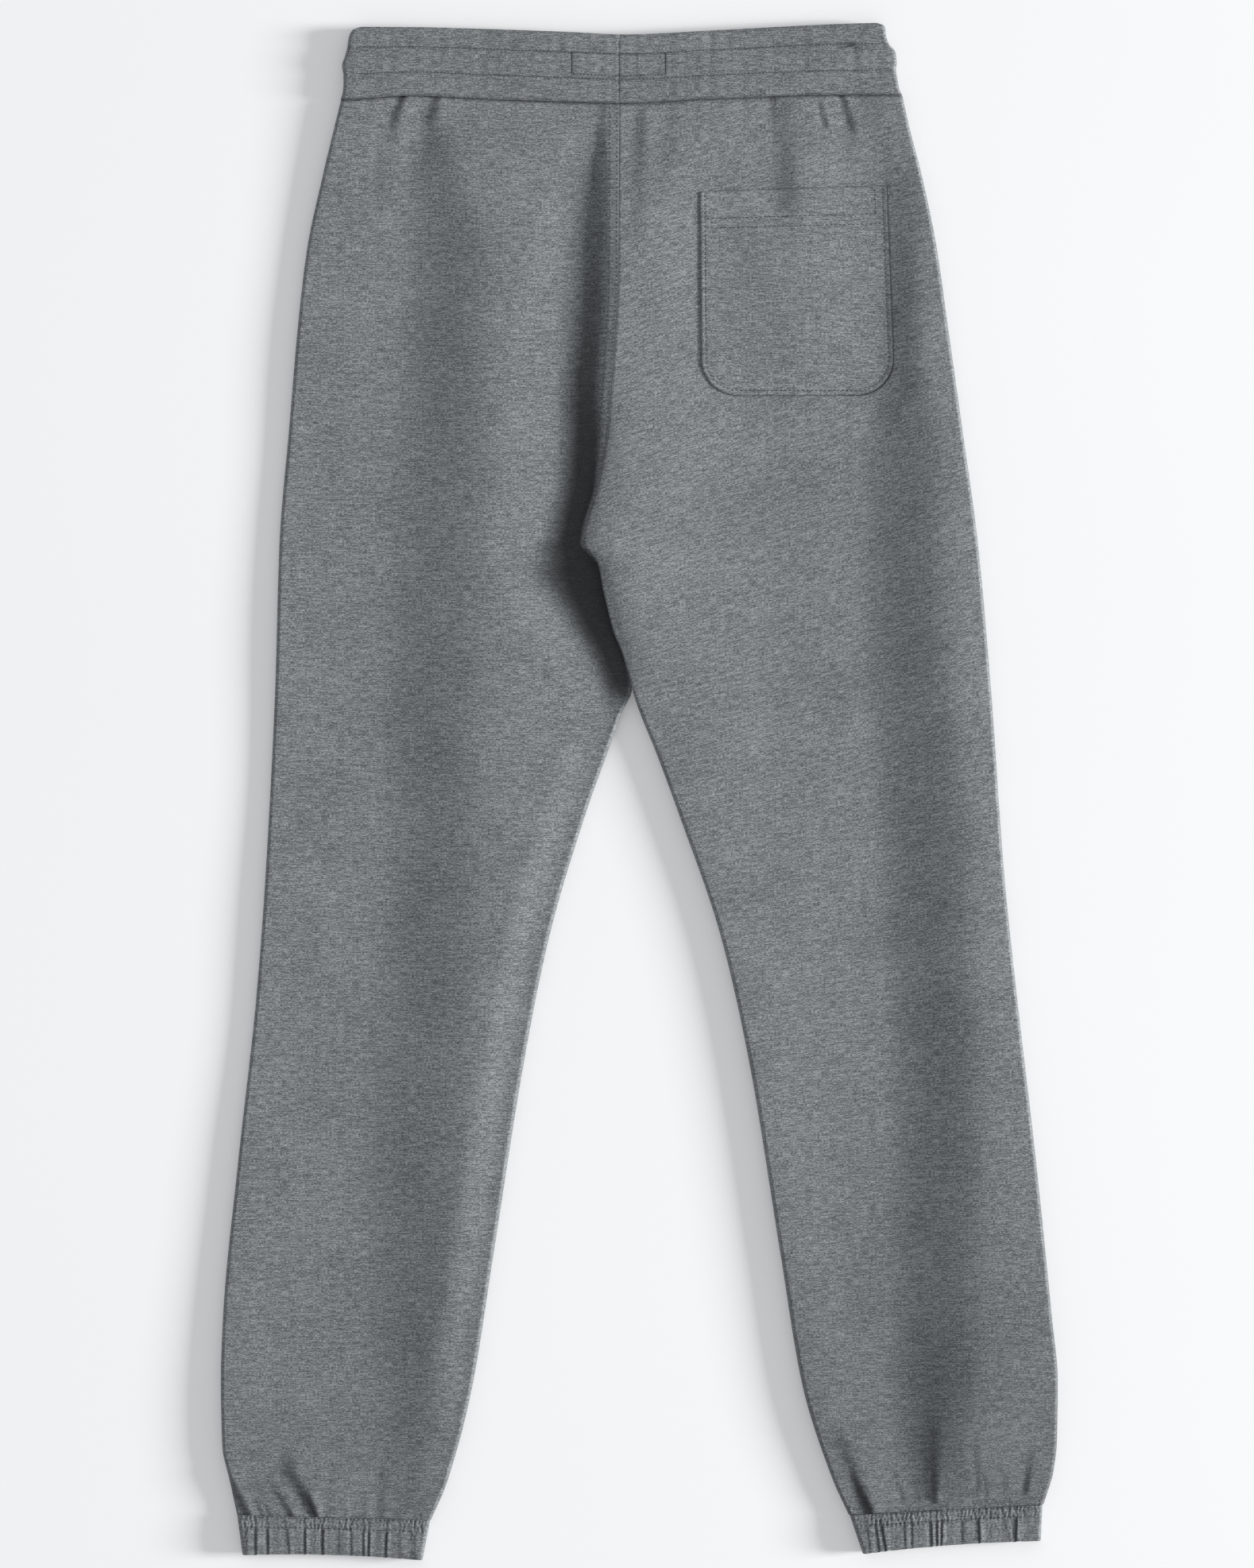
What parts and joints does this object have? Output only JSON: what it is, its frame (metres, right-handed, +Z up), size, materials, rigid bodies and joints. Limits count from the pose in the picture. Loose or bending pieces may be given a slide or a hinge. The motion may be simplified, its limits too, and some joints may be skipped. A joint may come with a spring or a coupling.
{
  "type": "jogger sweatpants",
  "caption": "Heather grey jogger sweatpants laid flat with the back up: elastic waistband, seat seam, patch back pocket, tapered legs and gathered elastic cuffs.",
  "frame": {"origin": "middle of the laid-out outline, on the surface the garment lies on", "axes": "+X towards the wearer's right, +Y towards the waist, +Z up out of the surface; the back of the garment faces up"},
  "size_m": [0.5684, 1.0447, 0.0148],
  "materials": {
    "leg_jersey": "brushed sweatshirt jersey, mid grey heather, matt",
    "pocket_jersey": "the same jersey with its grain level, matt",
    "waistband_jersey": "the same jersey folded over elastic, sewn in rows",
    "cuff_jersey": "the same jersey gathered over elastic"
  },
  "bodies": {
    "root": {"front_left": "leg_jersey", "front_right": "leg_jersey", "back_left": "leg_jersey", "back_right": "leg_jersey", "waistband": "waistband_jersey", "cuff_left": "cuff_jersey", "cuff_right": "cuff_jersey", "back_pocket": "pocket_jersey"}
  },
  "joints": []
}
